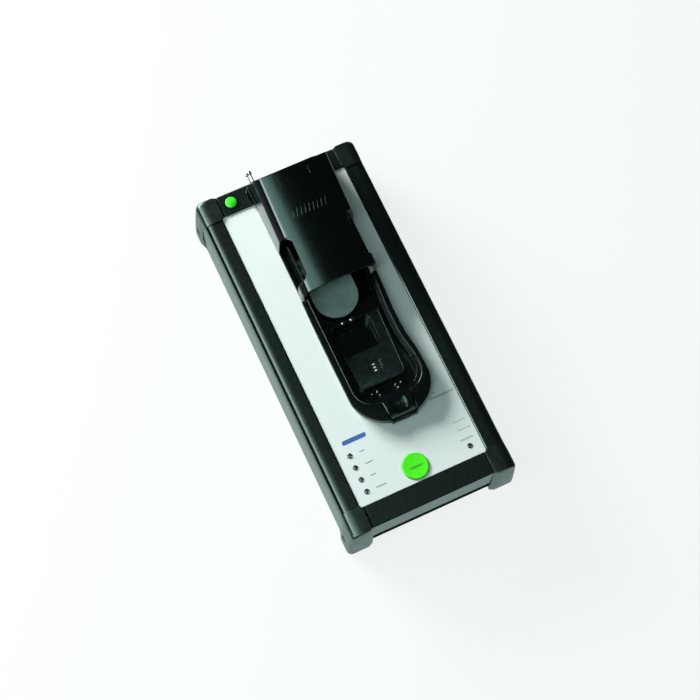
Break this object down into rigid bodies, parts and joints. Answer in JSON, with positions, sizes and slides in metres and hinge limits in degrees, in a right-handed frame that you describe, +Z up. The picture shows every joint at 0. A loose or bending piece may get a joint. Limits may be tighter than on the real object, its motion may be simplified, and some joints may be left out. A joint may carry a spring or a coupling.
{
  "type": "gas detector test station",
  "caption": "Docking station for testing a portable gas detector: low black box with silver plate, open cradle, sloped hood, latch and start button.",
  "frame": {"origin": "centre of the overall box, on the surface that the feet stand on", "axes": "+X to the user's right, +Y from the start button to the rear bar, +Z up"},
  "size_m": [0.1436, 0.3146, 0.1],
  "materials": {
    "black_metal": "fine satin powder coat",
    "cap_plastic": "satin moulded",
    "screw_steel": "blackened",
    "plate_silver": "fine satin",
    "button_green": "satin",
    "marker_green": "gloss",
    "lamp_green": "clear lens",
    "lamp_dark": "clear lens",
    "lamp_amber": "clear lens",
    "nipple_metal": "turned",
    "port_plastic": "moulded",
    "port_metal": "plated",
    "hood_plastic": "satin gloss, fine moulded grain",
    "cradle_plastic": "satin gloss",
    "tongue_plastic": "smooth",
    "pin_steel": "polished",
    "contact_gold": "plated",
    "circuit_board": "solder mask",
    "switch_plastic": "moulded",
    "manifold_aluminium": "milled",
    "valve_steel": "plated",
    "hose_rubber": "translucent",
    "standoff_brass": "turned",
    "foot_rubber": "matt"
  },
  "bodies": {
    "housing": {"base_plate": "black_metal", "left_rail": "black_metal", "right_rail": "black_metal", "front_bar": "black_metal", "rear_bar": "black_metal", "front_left_cap": "cap_plastic", "front_right_cap": "cap_plastic", "rear_left_cap": "cap_plastic", "rear_right_cap": "cap_plastic", "front_left_cap_screw": "screw_steel", "front_right_cap_screw": "screw_steel", "rear_left_cap_screw": "screw_steel", "rear_right_cap_screw": "screw_steel", "front_plate": "plate_silver", "green_marker": "marker_green", "status_led_1": "lamp_green", "status_led_4": "lamp_green", "status_led_2": "lamp_dark", "link_led": "lamp_dark", "status_led_3": "lamp_amber", "gas_inlet_nipple": "nipple_metal", "gas_outlet_nipple": "nipple_metal", "power_jack": "port_plastic", "data_port": "port_metal", "hood": "hood_plastic", "cradle": "cradle_plastic", "left_finger_guide": "cradle_plastic", "right_finger_guide": "cradle_plastic", "tongue_pin": "pin_steel", "latch_pin": "pin_steel", "latch_spring": "pin_steel", "button_spring": "pin_steel", "main_board": "circuit_board", "key_board": "circuit_board", "key_switch": "switch_plastic", "pump": "switch_plastic", "gas_manifold": "manifold_aluminium", "inlet_valve": "valve_steel", "outlet_valve": "valve_steel", "inlet_hose": "hose_rubber", "outlet_hose": "hose_rubber", "standoff_1": "standoff_brass", "standoff_2": "standoff_brass", "standoff_3": "standoff_brass", "standoff_4": "standoff_brass", "foot_1": "foot_rubber", "foot_2": "foot_rubber", "foot_3": "foot_rubber", "foot_4": "foot_rubber"},
    "start_button": {"start_button": "button_green"},
    "latch": {"latch": "cradle_plastic"},
    "tongue": {"tongue": "tongue_plastic"},
    "left_contact_pins": {"left_contact_pins": "contact_gold"},
    "right_contact_pins": {"right_contact_pins": "contact_gold"},
    "left_sense_pin": {"left_sense_pin": "pin_steel"},
    "right_sense_pin": {"right_sense_pin": "pin_steel"},
    "floor_contact": {"floor_contact": "pin_steel"}
  },
  "joints": [
    {"name": "button_press", "type": "slide", "parent": "housing", "child": "start_button", "axis": [0, 0, -1], "range_m": [0, 0.0008], "stiffness_N_per_m": 1500, "springref_m": -0.0005, "deforming": ["button_spring"]},
    {"name": "latch_lift", "type": "hinge", "parent": "housing", "child": "latch", "pos_m": [0.0073, -0.0829, 0.0556], "axis": [1, 0, 0], "range_deg": [0, 9], "stiffness_Nm_per_rad": 0.15, "springref_deg": -8.59},
    {"name": "tongue_press", "type": "hinge", "parent": "housing", "child": "tongue", "pos_m": [0.0023, 0.0647, 0.0468], "axis": [1, 0, 0], "range_deg": [0, 3.5], "stiffness_Nm_per_rad": 0.3, "springref_deg": -5.73},
    {"name": "left_contacts_press", "type": "slide", "parent": "housing", "child": "left_contact_pins", "axis": [0, 0, -1], "range_m": [0, 0.0012], "stiffness_N_per_m": 400, "springref_m": -0.0008},
    {"name": "right_contacts_press", "type": "slide", "parent": "housing", "child": "right_contact_pins", "axis": [0, 0, -1], "range_m": [0, 0.0012], "stiffness_N_per_m": 400, "springref_m": -0.0008},
    {"name": "left_sense_press", "type": "slide", "parent": "housing", "child": "left_sense_pin", "axis": [0, 0, -1], "range_m": [0, 0.001], "stiffness_N_per_m": 300, "springref_m": -0.0008},
    {"name": "right_sense_press", "type": "slide", "parent": "housing", "child": "right_sense_pin", "axis": [0, 0, -1], "range_m": [0, 0.001], "stiffness_N_per_m": 300, "springref_m": -0.0008},
    {"name": "floor_contact_press", "type": "slide", "parent": "housing", "child": "floor_contact", "axis": [0, 0, -1], "range_m": [0, 0.0006], "stiffness_N_per_m": 500, "springref_m": -0.0005}
  ]
}
